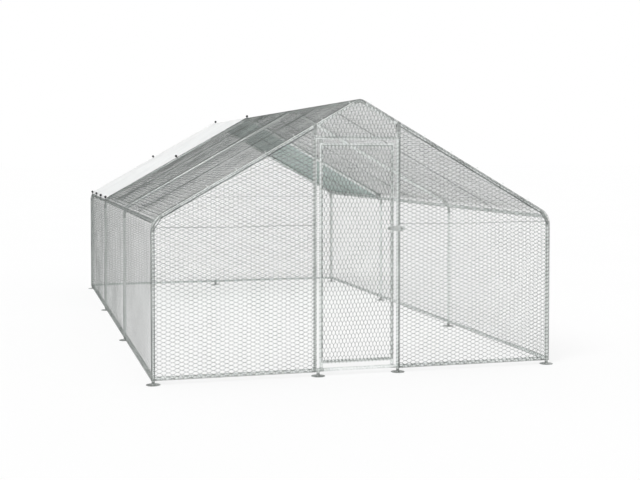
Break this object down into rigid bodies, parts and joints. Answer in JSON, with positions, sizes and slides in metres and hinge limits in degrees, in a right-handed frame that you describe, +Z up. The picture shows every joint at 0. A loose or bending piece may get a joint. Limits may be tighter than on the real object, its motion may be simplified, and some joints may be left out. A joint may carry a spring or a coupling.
{
  "type": "walk-in poultry run",
  "caption": "Walk-in poultry run: gabled frame of plugged galvanised tubes, hexagonal wire netting all round, pin-hung net door with a hasp, and a tied sheet over the rear roof bay.",
  "frame": {"origin": "on the ground plane under the middle of the run, at the undersides of the foot plates", "axes": "+Z up, +Y along the run from the door gable to the covered end, the door is at -Y"},
  "size_m": [3.1, 6.0248, 2.0396],
  "materials": {
    "galvanised_tube": "satin",
    "galvanised_plate": "satin",
    "zinc_hardware": "satin",
    "netting_wire": "satin",
    "cover_sheet": "matte",
    "tie_black": "matte",
    "cap_plastic": "matte"
  },
  "bodies": {
    "frame": {"post_l1": "galvanised_tube", "post_l2": "galvanised_tube", "post_l3": "galvanised_tube", "post_l4": "galvanised_tube", "post_r1": "galvanised_tube", "post_r2": "galvanised_tube", "post_r3": "galvanised_tube", "post_r4": "galvanised_tube", "rafter_l1": "galvanised_tube", "rafter_l2": "galvanised_tube", "rafter_l3": "galvanised_tube", "rafter_l4": "galvanised_tube", "rafter_r1": "galvanised_tube", "rafter_r2": "galvanised_tube", "rafter_r3": "galvanised_tube", "rafter_r4": "galvanised_tube", "eave_bends_left": "galvanised_tube", "eave_bends_right": "galvanised_tube", "ridge_bends": "galvanised_tube", "ridge_purlins": "galvanised_tube", "eave_purlins_left": "galvanised_tube", "eave_purlins_right": "galvanised_tube", "base_rails_left": "galvanised_tube", "base_rails_right": "galvanised_tube", "back_rails": "galvanised_tube", "front_rails": "galvanised_tube", "threshold_rail": "galvanised_tube", "base_fittings": "galvanised_tube", "hinge_base": "galvanised_tube", "door_post_left": "galvanised_tube", "door_post_right": "galvanised_tube", "lintel": "galvanised_tube", "foot_plates": "galvanised_plate", "lintel_plugs": "zinc_hardware", "lintel_bolts": "zinc_hardware", "rafter_clamps": "zinc_hardware", "clamp_bolts": "zinc_hardware", "hinge_pin": "zinc_hardware", "hasp_keeper": "zinc_hardware", "hasp_stud": "zinc_hardware", "net_left": "netting_wire", "net_right": "netting_wire", "net_back": "netting_wire", "net_front_left": "netting_wire", "net_front_right": "netting_wire", "net_gable": "netting_wire", "net_roof_left": "netting_wire", "net_roof_right": "netting_wire", "roof_cover": "cover_sheet", "cover_ties": "tie_black"},
    "door": {"door_stile_hinge": "galvanised_tube", "door_stile_latch": "galvanised_tube", "door_rail_top": "galvanised_tube", "door_rail_low": "galvanised_tube", "stile_caps": "cap_plastic", "door_net": "netting_wire", "hasp_bracket": "zinc_hardware", "bracket_bolt": "zinc_hardware", "hasp_pin": "zinc_hardware"},
    "hasp": {"hasp_strap": "zinc_hardware"}
  },
  "joints": [
    {"name": "door_hinge", "type": "hinge", "parent": "frame", "child": "door", "pos_m": [-0.29, -2.9625, 0.9], "axis": [0, 0, -1], "range_deg": [0, 130]},
    {"name": "hasp_hinge", "type": "hinge", "parent": "door", "child": "hasp", "pos_m": [0.25, -2.9827, 1.06], "axis": [0, 0, -1], "range_deg": [0, 150]}
  ]
}
